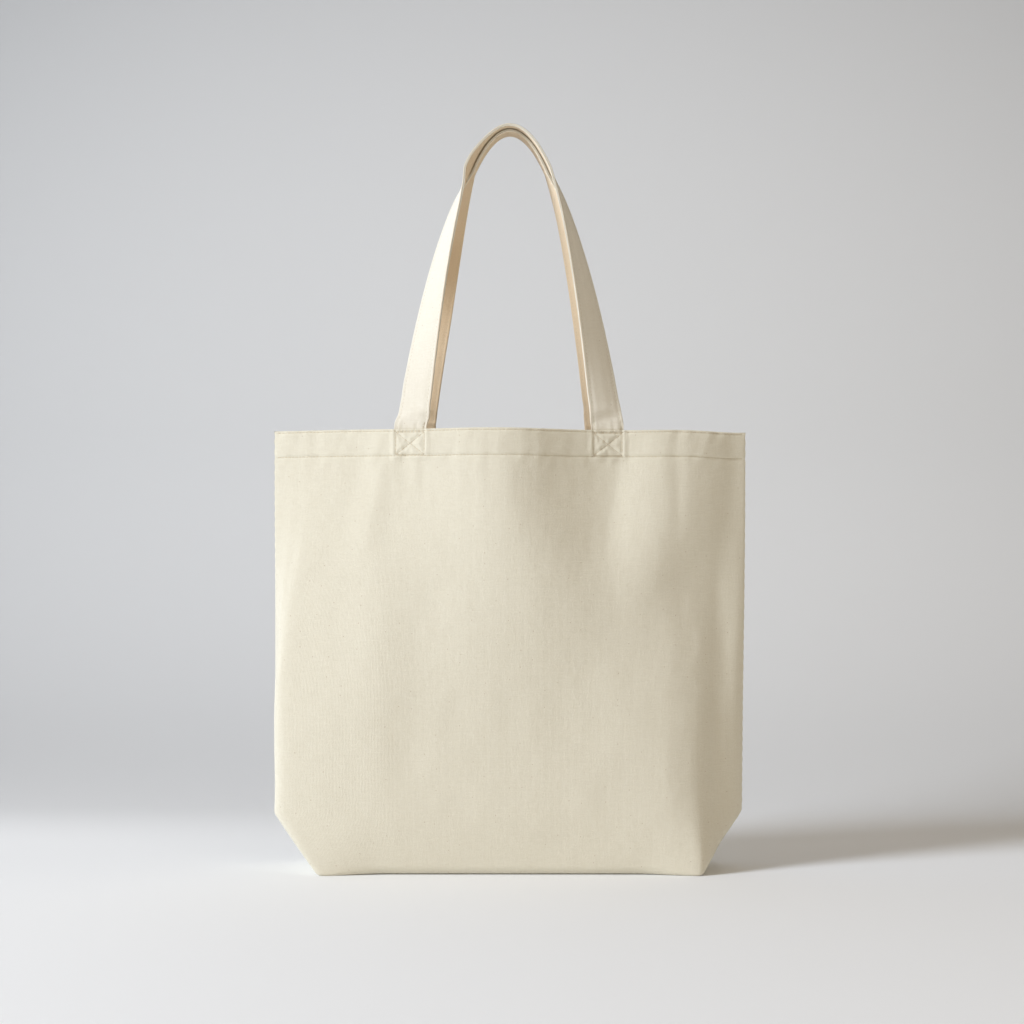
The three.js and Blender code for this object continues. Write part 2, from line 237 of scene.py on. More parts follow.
def outline(a, z):
    """The front wall's outline with its folds softened, as (x, y)."""
    distance = np.abs(a)
    filled = smooth(a, -50, -120) * smooth(z, 420, 230)
    left = mix(LEFT_CORNER_SOFTNESS, FILLED_SOFTNESS, filled)
    widest = mix(left, RIGHT_CORNER_SOFTNESS, smooth(a, -60, 60))
    softness = mix(LEAST_CORNER_SOFTNESS, widest, smooth(z, 0, CORNER_SOFT_HEIGHT))
    reach = np.minimum(softness, PANEL_HALF_WIDTH - distance)
    steps = np.linspace(-1, 1, SOFTENING_TAPS)
    weights = (1 - steps**2 / 1.1) ** 2
    point = 0
    for step, weight in zip(steps, weights / weights.sum()):
        beside = distance + step * reach
        tap = sharp_outline(np.abs(beside), z, filled)
        tap[..., 0] *= np.where(beside < 0, -1, 1)
        point = point + tap * weight
    point[..., 0] *= np.sign(a)
    return point


def outward(a, z):
    """The direction square to the front wall, out of the bag, as (x, y)."""
    before = outline(np.maximum(a - 1, -PANEL_HALF_WIDTH), z)
    after = outline(np.minimum(a + 1, PANEL_HALF_WIDTH), z)
    along = unit(after - before)
    return np.stack([along[..., 1], -along[..., 0]], -1)


# ---------------------------------------------------------------- folds and dents in the cloth


def fold(a, z, foot, head, widths, height, blunt):
    """A ridge, or a valley if height is negative, along a line between two places on the panel.
    widths are how far it spreads to the left and to the right of the line."""
    line = np.subtract(head, foot)
    length = math.hypot(*line)
    along = ((a - foot[0]) * line[0] + (z - foot[1]) * line[1]) / length
    off = ((a - foot[0]) * line[1] - (z - foot[1]) * line[0]) / length
    ends = smooth(along, -blunt, blunt) * smooth(length - along, -blunt, blunt)
    return height * ends * np.exp(-((off / np.where(off < 0, *widths)) ** 2))


def front_folds(a, z):
    """One broad swell between the handles that dies out lower down, hollows beside it, and smaller folds."""
    crest = mix(10, -6, smooth(z, 240, 330))
    spread = np.where(a < crest, 78, mix(88, 50, smooth(z, 230, 350)))
    total = 20 * smooth(z, 120, 320) * bell(a, crest, spread)
    for shape in FRONT_FOLDS:
        total = total + fold(a, z, *shape)
    drawn = np.clip(1 - z / FOOT_DRAW_HEIGHT, 0, 1) ** 2
    total = total - RIGHT_RETREAT * smooth(a, 20, 185) * smooth(z, 0, 80) * smooth(z, 320, 190)
    return total - FOOT_DRAW * drawn * smooth(np.abs(a), 165, 110)


def back_folds(a, z):
    total = 2.0 * bell(a, 30, 70) * smooth(z, 150, BAG_HEIGHT)
    for shape in BACK_FOLDS:
        total = total + fold(a, z, *shape)
    return total


def foot_a(side):
    """Where the middle of a handle's foot is on the panel."""
    inset = BACK_ARCH_INSET if side == BACK else 0
    return (HANDLE_FOOT_X - inset) / MOUTH_HALF_WIDTH * PANEL_HALF_WIDTH


def hem_relief(side, a, z):
    """The hem stands proud over the folded edge, and is drawn in along its rows of stitches."""
    drop = BAG_HEIGHT - z
    total = 0.35 * smooth(drop, LOWER_ROW_DROP + 1.5, LOWER_ROW_DROP - 4)
    for row in (TOP_ROW_DROP, LOWER_ROW_DROP):
        total = total - 0.7 * bell(drop, row, 1.0)
        pucker = noise(a / 7 + drop / 16, drop / 30, 11 + side)
        total = total + 0.42 * pucker * bell(drop, row, 8)
    half_width = BOX_STITCH_WIDTH / 2
    for sign in (-1, 1):
        off = a - sign * foot_a(side)
        within = smooth(np.abs(off), half_width + 7, half_width + 0.5)
        covered = smooth(drop, BOX_STITCH_BOTTOM_DROP + 7, BOX_STITCH_BOTTOM_DROP)
        total = total + 1.3 * within * covered
        inside = (np.abs(off) < half_width + 1.5) & (drop < BOX_STITCH_BOTTOM_DROP + 1.5)
        total = total + 0.3 * noise(off / 2.6, drop / 2.6, 31 + side) * np.where(inside, 1, 0)
        to_stitch = box_distance(off, drop)
        sunk = 0.6 * bell(to_stitch, 0, 1.1) + 0.6 * bell(to_stitch, 0, 3.5) - 0.3
        total = total - np.where(inside, sunk, 0)
    return total


def box_distance(off, drop):
    """How far a place on the hem is from the nearest line of the square and cross."""
    half = BOX_STITCH_WIDTH / 2
    rise = (BOX_STITCH_BOTTOM_DROP - BOX_STITCH_TOP_DROP) / 2
    down = drop - (BOX_STITCH_BOTTOM_DROP + BOX_STITCH_TOP_DROP) / 2
    slant = math.hypot(half, rise)
    lines = [np.abs(np.abs(off) - half), np.abs(np.abs(down) - rise)]
    lines += [np.abs(off * rise + sign * down * half) / slant for sign in (-1, 1)]
    return np.minimum.reduce(lines)


def relief(side, a, z):
    """How far the cloth stands out of the plain outline."""
    from_seam = PANEL_HALF_WIDTH - np.abs(a)
    folds = front_folds(a, z) if side == FRONT else back_folds(a, z)
    slack = 0.7 * noise(a / 55, z / 70, 3 + side)
    slack = slack + 0.35 * noise(a / 22, z / 34, 6 + side)
    slack = slack + 0.12 * noise(a / 9, z / 12, 9 + side)
    slack = slack + 0.25 * noise(a / 8.5, z / 60, 15 + side) * smooth(z, 290, 360)
    slack = slack + 0.4 * noise(a / 11, z / 40, 18 + side) * smooth(z, 345, 372)
    folds = (folds + slack * smooth(z, 0, 35)) * smooth(from_seam, 6, 30)
    ripples = 0.45 * noise(a / 9 + 5, z / 60, 21 + side) * smooth(z, 40, 90)
    ripples = ripples * bell(np.abs(a), 194, 10) * smooth(from_seam, 0.5, 9)
    return folds + ripples + hem_relief(side, a, z) * smooth(from_seam, 0.5, 7)


def lift(side, a):
    """How much higher than the corners' height the top edge stands."""
    if side == FRONT:
        swells = 1.9 * bell(a, -17, 70) + 0.9 * bell(a, -140, 60) + 0.8 * bell(a, 150, 40)
        return 2.0 + swells - 1.2 * bell(a, 205, 30)
    return 1.5 + 2.4 * bell(a, 40, 60) + 1.0 * bell(a, -100, 70) - 1.0 * bell(a, 200, 60)


def fold_radius(a):
    return mix(FOLD_RADIUS, CORNER_FOLD_RADIUS, smooth(np.abs(a), 110, BASE_HALF_LENGTH))


def surface(side, a, z, depth=0.0):
    """Places on a panel in space. depth is out of the bag, and negative inside the cloth."""
    a, z, depth = np.broadcast_arrays(np.asarray(a, float), np.asarray(z, float), np.asarray(depth, float))
    distance = np.abs(a)
    point = outline(a, z) + outward(a, z) * (depth + relief(side, a, z))[..., None]
    within = np.maximum(-depth, 0)
    radius = fold_radius(a) - within
    lack = np.clip(1 - (z - within) / radius, 0, 1)
    curl = (1 - np.sqrt(1 - lack**2)) * radius / fold_radius(a)
    on_front = distance <= BASE_HALF_LENGTH
    inset_x = np.where(on_front, distance / BASE_HALF_LENGTH, 1) * CORNER_FOLD_RADIUS
    corner_y = CORNER_FOLD_RADIUS * (PANEL_HALF_WIDTH - distance) / BASE_HALF_DEPTH
    inset_y = np.where(on_front, fold_radius(a), corner_y)
    x = point[..., 0] - np.sign(a) * inset_x * curl
    y = point[..., 1] + inset_y * curl
    roll = np.clip(1 - (PANEL_HALF_WIDTH - distance) / SEAM_ROLL_WIDTH, 0, 1) ** 2
    tug = 1 + 0.25 * np.sin(z * 2 * math.pi / SEAM_ROLL_PERIOD)
    x = x - np.sign(a) * SEAM_ROLL_DEPTH * roll * tug * smooth(z, 0, 8)
    y = np.minimum(y, -SEAM_GAP / 2)
    height = z + lift(side, a) * smooth(z, 240, BAG_HEIGHT)
    return np.stack([x, y * -side, height], -1)


def surface_normal(side, a, z):
    """The direction out of the bag at places on a panel."""
    across = surface(side, a + 0.6, z) - surface(side, a - 0.6, z)
    up = surface(side, a, z + 0.3) - surface(side, a, z - 0.3)
    return unit(np.cross(across, up)) * -side


# ---------------------------------------------------------------- making meshes


def make_piece(name, points, faces, cloth, material, slot):
    """A mesh piece. points are in millimetres, cloth is each point's place on its cloth or thread."""
    mesh = bpy.data.meshes.new(name)
    mesh.from_pydata((np.asarray(points) * MM).tolist(), [], faces)
    mesh.polygons.foreach_set("use_smooth", [True] * len(mesh.polygons))
    corners = np.zeros(len(mesh.loops), np.int32)
    mesh.loops.foreach_get("vertex_index", corners)
    layer = mesh.uv_layers.new(name="cloth")
    layer.data.foreach_set("uv", (np.asarray(cloth)[corners] * MM).astype(np.float32).ravel())
    mesh.materials.append(material)
    mesh.update()
    piece = bpy.data.objects.new(name, mesh)
    bpy.context.scene.collection.objects.link(piece)
    return piece


def grid_quads(rows, columns, wrap=False):
    """Quads of a grid of points numbered row by row; wrap closes each row into a ring."""
    across = columns if wrap else columns - 1
    j, i = np.mgrid[0 : rows - 1, 0:across]
    after = (i + 1) % columns
    near, far = j * columns, (j + 1) * columns
    return np.stack([near + i, near + after, far + after, far + i], -1).reshape(-1, 4)


def sweep_faces(rings, size):
    """Faces of a closed sweep with a flat face at each end."""
    faces = grid_quads(rings, size, wrap=True).tolist()
    faces.append(list(range(size))[::-1])
    faces.append(list(range((rings - 1) * size, rings * size)))
    return faces


def zip_edges(left, right, left_at, right_at):
    """Triangles between two lines of points, matched by how far along each point is."""
    faces = []
    i = j = 0
    while i < len(left) - 1 or j < len(right) - 1:
        if j == len(right) - 1 or (i < len(left) - 1 and left_at[i + 1] <= right_at[j + 1]):
            faces.append([left[i], left[i + 1], right[j]])
            i += 1
        else:
            faces.append([left[i], right[j + 1], right[j]])
            j += 1
    return faces


# ---------------------------------------------------------------- the two panels


def panel_columns():
    near_seam = PANEL_HALF_WIDTH - np.array([0, 0.5, 1.1, 1.9, 2.9, 4.2])
    side = np.linspace(PANEL_HALF_WIDTH - 6, BASE_HALF_LENGTH + 2, 19)
    front = [np.linspace(BASE_HALF_LENGTH, 110, 25)[:-1], np.arange(110, 64, -0.9), np.linspace(62, 0, 27)]
    half = np.concatenate([near_seam, side, *front])
    return np.concatenate([-half[:-1], half[::-1]])


def panel_rows(a):
    """The rows of a panel's section: base, fold, wall and hem outside, then the same inside, going down.
    Each is (height at each column, depth, how far along the cloth, share of the base or None)."""
    rows = []
    radius = fold_radius(a)
    thick = CANVAS_THICKNESS
    near_seam = [0, 0.8, 1.8, 3.0, 4.5]
    base_steps = np.concatenate([near_seam, np.linspace(6.5, BASE_HALF_DEPTH - 2, 16)]) / BASE_HALF_DEPTH
    turns = np.radians(np.linspace(0, 90, 7))
    for share in base_steps:
        rows.append((0 * a, 0.0, share * BASE_HALF_DEPTH + 0 * a, share))
    for turn in turns:
        z = radius * (1 - math.cos(turn))
        rows.append((z, 0.0, BASE_HALF_DEPTH + z, None))
    for share in (0.3, 0.65):
        z = mix(radius, 14, share)
        rows.append((z, 0.0, BASE_HALF_DEPTH + z, None))
    stitch_rows = [BAG_HEIGHT - drop for drop in (LOWER_ROW_DROP, TOP_ROW_DROP)]
    wall = [np.arange(14, 355, 2.7), stitch_rows[0] + np.arange(-5, 3.1, 0.6)]
    wall += [np.arange(365.5, 380, 0.95), np.linspace(380.4, BAG_HEIGHT - HEM_THICKNESS / 2, 7)]
    for z in np.concatenate(wall):
        rows.append((z + 0 * a, 0.0, BASE_HALF_DEPTH + z + 0 * a, None))
    half = HEM_THICKNESS / 2
    for turn in np.radians(np.linspace(30, 150, 5)):
        z = BAG_HEIGHT - half + half * math.sin(turn)
        rows.append((z + 0 * a, -half + half * math.cos(turn), BASE_HALF_DEPTH + z + 0 * a, None))
    outer_count = len(rows)
    top = BASE_HALF_DEPTH + BAG_HEIGHT
    hem_foot = BAG_HEIGHT - HEM_HEIGHT
    inner = [(z, -HEM_THICKNESS) for z in np.linspace(BAG_HEIGHT - half, hem_foot + 3.4, 15)]
    inner += [(hem_foot + 2.6, -HEM_THICKNESS + 0.35), (hem_foot + 1.8, -HEM_THICKNESS + 0.42)]
    inner += [(hem_foot + 1.0, -HEM_THICKNESS + 0.2), (hem_foot + 0.4, -HEM_THICKNESS + 0.05)]
    inner += [(hem_foot, -HEM_THICKNESS + 0.3), (hem_foot, -thick - 0.25), (hem_foot + 0.2, -thick)]
    inner += [(z, -thick) for z in np.linspace(hem_foot - 1, 14, 66)]
    for z, depth in inner:
        rows.append((z + 0 * a, depth, top + (BAG_HEIGHT - z) + 0 * a, None))
    for turn in turns[::-1]:
        z = radius - (radius - thick) * math.cos(turn)
        rows.append((z, -thick, top + (BAG_HEIGHT - z), None))
    for share in np.linspace(1, 0, 12)[1:]:
        rows.append((0 * a + thick, -thick, top + BAG_HEIGHT + (1 - share) * BASE_HALF_DEPTH + 0 * a, share))
    return rows, outer_count


def make_panel(side, material):
    a = panel_columns()
    rows, outer_count = panel_rows(a)
    points, cloth = [], []
    for z, depth, along, share in rows:
        ring = surface(side, a, z, depth)
        if share is not None:
            inner_gap = SEAM_GAP / 2 * side
            from_seam = share * BASE_HALF_DEPTH
            ring[:, 1] = mix(inner_gap, ring[:, 1], share)
            from_end = BASE_HALF_LENGTH - np.abs(a)
            curl = np.maximum(np.clip(1 - from_seam / 4, 0, 1), np.clip(1 - from_end / 4, 0, 1))
            ring[:, 2] = (0 if depth == 0 else CANVAS_THICKNESS) + 1.3 * curl**2
        points.append(ring)
        cloth.append(np.stack([a, along], -1))
    count = len(a)
    quads = grid_quads(len(rows), count)
    j, i = quads[:, 0] // count, quads[:, 0] % count
    is_base = np.array([row[3] is not None for row in rows])
    in_base = is_base[j] | is_base[j + 1]
    wide = np.maximum(np.abs(a[i]), np.abs(a[i + 1])) > BASE_HALF_LENGTH + 0.1
    faces = quads[~(in_base & wide)].tolist()
    left = int(np.argmin(np.abs(a + BASE_HALF_LENGTH)))
    right = count - 1 - left
    last = len(rows) - 1
    outer_wall = int(np.argmin(is_base))
    inner_wall = last - int(np.argmin(is_base[::-1]))
    for k in range(left, right):
        faces.append([last * count + k, last * count + k + 1, k + 1, k])
    for k in [*range(0, left), *range(right, count - 1)]:
        inside, outside = inner_wall * count + k, outer_wall * count + k
        faces.append([inside, inside + 1, outside + 1, outside])

    def close_edge(column, up, down, place, flip):
        """Joins the outer and the inner skin along one column."""
        lines = [[j * count + column for j in js] for js in (up, down)]
        strip = zip_edges(*lines, place(up), place(down))
        return [f if flip else f[::-1] for f in strip if len(set(f)) == 3]

    top = outer_count + 2
    for column, flip in ((0, False), (count - 1, True)):
        heights = lambda js: [float(rows[j][0][column]) for j in js]
        faces += close_edge(column, range(outer_wall, top + 1), range(inner_wall, top - 1, -1), heights, flip)
    shares = lambda js: [1.0 if rows[j][3] is None else rows[j][3] for j in js]
    for column, flip in ((left, False), (right, True)):
        faces += close_edge(column, range(0, outer_wall + 1), range(last, inner_wall - 1, -1), shares, flip)
    if side == BACK:
        faces = [f[::-1] for f in faces]
    shift = 600.0 if side == BACK else 0.0
    cloth = np.concatenate(cloth) + [shift, 0]
    name = f"{WORDS[side]}_panel_canvas"
    piece = make_piece(name, np.concatenate(points), faces, cloth, material, "canvas")
    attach(piece, "bag_body")
    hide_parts(f"{WORDS[side]}_panel")
    return piece


# ---------------------------------------------------------------- threads


def resample(points, spacing):
    """A line of points at even spacing along another."""
    steps = np.linalg.norm(np.diff(points, axis=0), axis=1)
    at = np.concatenate([[0], np.cumsum(steps)])
    count = max(int(round(at[-1] / spacing)), 1)
    wanted = np.linspace(0, at[-1], count + 1)
    return np.stack([np.interp(wanted, at, points[:, k]) for k in range(points.shape[1])], -1)


def stitches(path, normals, radius=THREAD_RADIUS):
    """Separate stitches along a path: short arched threads whose ends dip into the cloth."""
    both = resample(np.concatenate([path, normals], -1), STITCH_PITCH)
    start, end = both[:-1, :3], both[1:, :3]
    normal = unit(both[:-1, 3:] + both[1:, 3:])
    along = unit(end - start)
    beside = np.cross(normal, along)
    middle = (start + end) / 2
    reach = np.array([-1, -0.86, -0.5, 0, 0.5, 0.86, 1]) * STITCH_LENGTH / 2
    swell = np.array([0.35, 0.8, 1, 1, 1, 0.8, 0.35]) * radius
    rise = np.array([-0.55, -0.15, 0.2, 0.3, 0.2, -0.15, -0.55]) * radius * 1.6 - 0.12
    angles = np.arange(6) * math.pi / 3
    shape = (len(middle), len(reach), len(angles), 3)
    points = np.zeros(shape)
    for k, turn in enumerate(angles):
        side = swell[None, :, None] * math.cos(turn) * beside[:, None, :]
        up = (rise + swell * math.sin(turn))[None, :, None] * normal[:, None, :]
        points[:, :, k] = middle[:, None, :] + reach[None, :, None] * along[:, None, :] + side + up
    faces = []
    block = np.array(grid_quads(len(reach), 6, wrap=True))
    size = len(reach) * 6
    for k in range(len(middle)):
        faces += (block + k * size).tolist()
        faces.append([k * size + i for i in range(6)][::-1])
        faces.append([k * size + size - 6 + i for i in range(6)])
    cloth = np.zeros((*shape[:3], 2))
    cloth[..., 0] = reach[None, :, None] + np.arange(len(middle))[:, None, None] * STITCH_PITCH
    cloth[..., 1] = angles[None, None, :] * radius
    return points.reshape(-1, 3), faces, cloth.reshape(-1, 2)


def joined(parts):
    """Several (points, faces, cloth) as one."""
    points, faces, cloth, count = [], [], [], 0
    for part in parts:
        points.append(part[0])
        cloth.append(part[2])
        faces += [[i + count for i in face] for face in part[1]]
        count += len(part[0])
    return np.concatenate(points), faces, np.concatenate(cloth)


def hem_stitching(side, drop, material, name):
    """One row of stitches round the hem, seen outside and inside."""
    a = np.linspace(-PANEL_HALF_WIDTH + 4, PANEL_HALF_WIDTH - 4, 400)
    z = np.full_like(a, BAG_HEIGHT - drop)
    normals = surface_normal(side, a, z)
    outside = stitches(surface(side, a, z, 0.05), normals)
    inside = stitches(surface(side, a, z, -HEM_THICKNESS - 0.05), -normals)
    return make_piece(name, *joined([outside, inside]), material, "thread")


def box_lines():
    """The square and cross, as lines of (distance from the middle of the foot, drop)."""
    half, top, foot = BOX_STITCH_WIDTH / 2, BOX_STITCH_TOP_DROP, BOX_STITCH_BOTTOM_DROP
    corners = [(-half, top), (half, top), (half, foot), (-half, foot)]
    lines = [(corners[k], corners[(k + 1) % 4]) for k in range(4)]
    lines += [(corners[0], corners[2]), (corners[1], corners[3])]
    share = np.linspace(0, 1, 40)[:, None]
    return [mix(np.array(start), np.array(end), share) for start, end in lines]


# ---------------------------------------------------------------- handles

arch_height = HANDLE_APEX_HEIGHT - BAG_HEIGHT
arch_scale = arch_height / (math.cosh(HANDLE_FOOT_X / ARCH_ROUNDNESS) - 1)


def arch_points(x, side, inset):
    """The middle line of a handle, as in the CAD part."""
    slope = arch_scale / ARCH_ROUNDNESS * np.sinh(x / ARCH_ROUNDNESS)
    length = np.hypot(1, slope)
    fall = arch_scale * (np.cosh(x / ARCH_ROUNDNESS) - 1)
    y = side * mix(APEX_OFFSET_Y, FOOT_Y, (x / HANDLE_FOOT_X) ** 2)
    return np.stack([x - inset * slope / length, y, HANDLE_APEX_HEIGHT - fall - inset / length], -1)


def strap_twist(side, x, height):
    """How far a strap has turned from lying on the hand to facing the front, in radians."""
    share = np.maximum(HANDLE_APEX_HEIGHT - STRAIGHT_TOP_DROP - height, 0) / (arch_height - STRAIGHT_TOP_DROP)
    share = np.minimum(share, 1)
    steady = 58 * np.minimum(share / 0.8, 1) ** 0.8 + 32 * share**14
    open_leg = 90 * np.minimum(share / 0.65, 1) ** 0.85
    curled = steady - SHOULDER_CURL * bell(height, SHOULDER_HEIGHT, 20)
    return np.radians(np.where(x > 0, steady, open_leg if side == BACK else curled))


def strap_frames(side):
    """The strap from one sewn end to the other: places, directions out of its face and across its width."""
    inset = BACK_STRAP_INSET if side == BACK else 0
    arch = arch_points(np.linspace(-HANDLE_FOOT_X, HANDLE_FOOT_X, 801), side, inset)
    arch = arch[arch[:, 2] > BAG_HEIGHT + 2]
    near_foot = smooth(arch[:, 2], BAG_HEIGHT + 130, BAG_HEIGHT)
    heights = np.linspace(STRAP_END_HEIGHT, BAG_HEIGHT + 1, 20)
    legs = []
    for sign in (-1, 1):
        a = np.full_like(heights, sign * foot_a(side))
        leg = surface(side, a, np.minimum(heights, BAG_HEIGHT), -HEM_THICKNESS - STRAP_THICKNESS / 2 - 0.1)
        leg[:, 2] = heights
        leg[:, 0] = mix(leg[:, 0].mean(), leg[:, 0], 0.3)
        legs.append(leg)
        arch[:, 1] += (leg[-1, 1] - side * FOOT_Y) * near_foot * (arch[:, 0] * sign > 0)
    line = resample(np.concatenate([legs[0], arch, legs[1][::-1]]), 1.5)
    for _ in range(60):
        soft = line.copy()
        soft[1:-1] = (line[:-2] + 2 * line[1:-1] + line[2:]) / 4
        near_foot = smooth(line[:, 2], BAG_HEIGHT + 40, BAG_HEIGHT + 15)[:, None]
        line = mix(line, soft, near_foot)
    along = unit(np.gradient(line, axis=0))
    out = unit(np.cross(along, [0.0, 1.0, 0.0]))
    across = unit(np.cross(out, along))
    turn = strap_twist(side, line[:, 0], line[:, 2])[:, None]
    face = out * np.cos(turn) + across * side * np.sin(turn)
    width = across * np.cos(turn) - out * side * np.sin(turn)
    return line + out * STRAP_WIDTH / 5 * np.sin(np.maximum(-turn, 0)), face, width


def strap_section():
    """The folded strap's section: (across, up), with a slit between its layers at the inner edge."""
    half, thick, edge = STRAP_WIDTH / 2, STRAP_THICKNESS / 2, STRAP_EDGE_RADIUS
    top = [(w, thick) for w in np.linspace(-half + edge, half - edge, 23)]
    turns = np.radians([65, 40, 15, -15, -40, -65])
    round_edge = [(half - edge + edge * math.cos(t), thick * math.sin(t)) for t in turns]
    bottom = [(-w, -h) for w, h in top]
    upper_lip = [(-half + edge, 0.06), (-half, 0.5), (-half + 0.25, 0.85)]
    lower_lip = [(w, -h) for w, h in reversed(upper_lip)]
    return np.array(top + round_edge + bottom + lower_lip + upper_lip)


def strap_relief(across):
    """How far a strap's faces stand out, drawn in along the stitches near its edges."""
    off = np.abs(across)
    line = STRAP_WIDTH / 2 - STRAP_STITCH_INSET
    return -0.3 * bell(off, line, 0.8) + 0.12 * bell(off, line + 1.7, 0.8)


def strap_wave(across, along, height, seed):
    """How far the whole strap swings out of its plane: soft lengthwise waves, and crumples by the foot."""
    waves = 0.5 * noise(across / 7, along / 120, seed) + 0.35 * bell(across, 0, 5)
    waves = waves * smooth(HANDLE_APEX_HEIGHT - height, 40, 110)
    crumple = smooth(height, BAG_HEIGHT + 50, BAG_HEIGHT + 12)
    waves = waves + 1.1 * crumple * noise(across / 20 + 3, along / 8, seed + 1)
    return waves * smooth(height, BAG_HEIGHT, BAG_HEIGHT + 10)


def strap_points(side, frames, across, up):
    """Places on a strap's skin, for every station along it and every (across, up)."""
    line, face, width = frames
    along = np.concatenate([[0], np.cumsum(np.linalg.norm(np.diff(line, axis=0), axis=1))])
    across, up = np.atleast_1d(across), np.atleast_1d(up)
    relief_up = np.where(np.abs(up) > 0.9, np.sign(up) * strap_relief(across), 0)
    skin = (up + relief_up)[None] + strap_wave(across[None], along[:, None], line[:, 2][:, None], 40 + side)
    points = line[:, None] + width[:, None] * across[None, :, None] + face[:, None] * skin[..., None]
    return lay_on_hem(side, frames, points, across, up), along


def lay_on_hem(side, frames, points, across, up):
    """The strap's sewn ends lie flat against the inside of the hem."""
    line, face, width = frames
    low = np.flatnonzero(line[:, 2] < BAG_HEIGHT + 16)
    sign = np.sign(line[low, 0])[:, None]
    middle = sign * foot_a(side)
    height = np.minimum(line[low, 2], BAG_HEIGHT)[:, None]
    tangent = surface(side, middle + 1, height) - surface(side, middle - 1, height)
    normal = surface_normal(side, middle, height)
    rightward = np.sign((width[low, None] * tangent).sum(-1))
    outward_face = np.sign((face[low, None] * normal).sum(-1))
    depth = outward_face * up[None] - HEM_THICKNESS - STRAP_THICKNESS / 2 - 0.15
    sewn = surface(side, middle + rightward * across[None], height, depth)
    sewn[..., 2] += (line[low, 2] - BAG_HEIGHT).clip(0)[:, None]
    held = smooth(line[low, 2], BAG_HEIGHT + 15, BAG_HEIGHT)[:, None, None]
    points = points.copy()
    points[low] = mix(points[low], sewn, held)
    return points


def make_strap(side, material):
    frames = strap_frames(side)
    section = strap_section()
    points, along = strap_points(side, frames, section[:, 0], section[:, 1])
    rings, size = points.shape[:2]
    girth = np.concatenate([[0], np.cumsum(np.linalg.norm(np.diff(section, axis=0), axis=1))])
    cloth = np.stack(np.broadcast_arrays(girth[None], along[:, None] + 700 * side), -1)
    name = f"{WORDS[side]}_handle_strap"
    faces = sweep_faces(rings, size)
    piece = make_piece(name, points.reshape(-1, 3), faces, cloth.reshape(-1, 2), material, "strap_canvas")
    word = WORDS[side]
    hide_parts(f"{word}_handle", f"{word}_left_handle_end", f"{word}_right_handle_end")
    bend(piece)
    return piece, frames


def bend(piece):
    """Bakes the piece's placing into its mesh."""
    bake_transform(piece)


def edge_stitching(side, edge, word, frames, material):
    line, face, width = frames
    clear = line[:, 2] > BAG_HEIGHT - 1
    parts = []
    across = edge * (STRAP_WIDTH / 2 - STRAP_STITCH_INSET)
    for sign in (1, -1):
        path, _ = strap_points(side, frames, across, sign * STRAP_THICKNESS / 2)
        path = path[:, 0] + face * sign * 0.05
        parts.append(stitches(path[clear], face[clear] * sign, EDGE_THREAD_RADIUS))
    name = f"{WORDS[side]}_handle_{word}_edge_stitching"
    piece = make_piece(name, *joined(parts), material, "thread")
    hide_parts(f"{WORDS[side]}_handle_{word}_edge_stitch")
    bend(piece)


def box_stitching(side, sign, word, material):
    """The square and cross that hold a handle's foot, outside on the hem and inside on the strap."""
    parts = []
    for line in box_lines():
        a = sign * foot_a(side) + line[:, 0]
        z = BAG_HEIGHT - line[:, 1]
        normals = surface_normal(side, a, z)
        parts.append(stitches(surface(side, a, z, 0.08), normals, BOX_THREAD_RADIUS))
        inside = surface(side, a, z, -HEM_THICKNESS - STRAP_THICKNESS - 0.2)
        parts.append(stitches(inside, -normals, BOX_THREAD_RADIUS))
    name = f"{WORDS[side]}_{word}_box_stitching"
    piece = make_piece(name, *joined(parts), material, "thread")
    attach(piece, "bag_body")
    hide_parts(f"{WORDS[side]}_{word}_box_stitch")


# ---------------------------------------------------------------- seam allowances inside

# Both layers of a seam allowance side by side, as (across, up), with a slit at the free edge.
# Across is 0 at the seam and negative towards the free edge, inside the bag.
UPPER_LAYER = [(0, 0.25), (-3, 0.8), (-6, 0.95), (-9.3, 0.95), (-9.9, 0.7), (-9.6, 0.25), (-8.2, 0.06)]
FLAP_SECTION = np.array(UPPER_LAYER + [(out, -up) for out, up in reversed(UPPER_LAYER)])

# One turn of overlock thread, as (along, across, up). Its long side is negative across, so the loops
# stand out past the free edge and do not grip the cloth.
OVERLOCK_TURN = np.array([
    (0, -5.0, 1.25), (0.5, -0.3, 1.1), (0.65, 0.35, 0), (0.8, -0.3, -1.1),
    (1.3, -5.0, -1.25), (1.8, -0.3, -1.1), (1.95, 0.35, 0), (2.1, -0.3, 1.1),
])


def tube(path, radius, sides=5):
    """A round thread along a path."""
    along = unit(np.gradient(path, axis=0))
    beside = unit(np.cross(along, [0.31, 0.52, 0.79]))
    above = np.cross(along, beside)
    angles = np.arange(sides) * 2 * math.pi / sides
    ring = np.cos(angles)[None, :, None] * beside[:, None] + np.sin(angles)[None, :, None] * above[:, None]
    points = path[:, None] + radius * ring
    run = np.arange(len(path)) * 1.0
    cloth = np.stack(np.broadcast_arrays(run[:, None], angles[None] * radius), -1)
    return points.reshape(-1, 3), sweep_faces(len(path), sides), cloth.reshape(-1, 2)


def overlock(place, length):
    """Thread wound over the edge of a flap. place turns (along, out from the edge, up) into space."""
    turns = int(length / OVERLOCK_PERIOD)
    path = np.concatenate([OVERLOCK_TURN + [k * OVERLOCK_PERIOD, 0, 0] for k in range(turns)])
    return tube(place(path), OVERLOCK_THREAD_RADIUS)


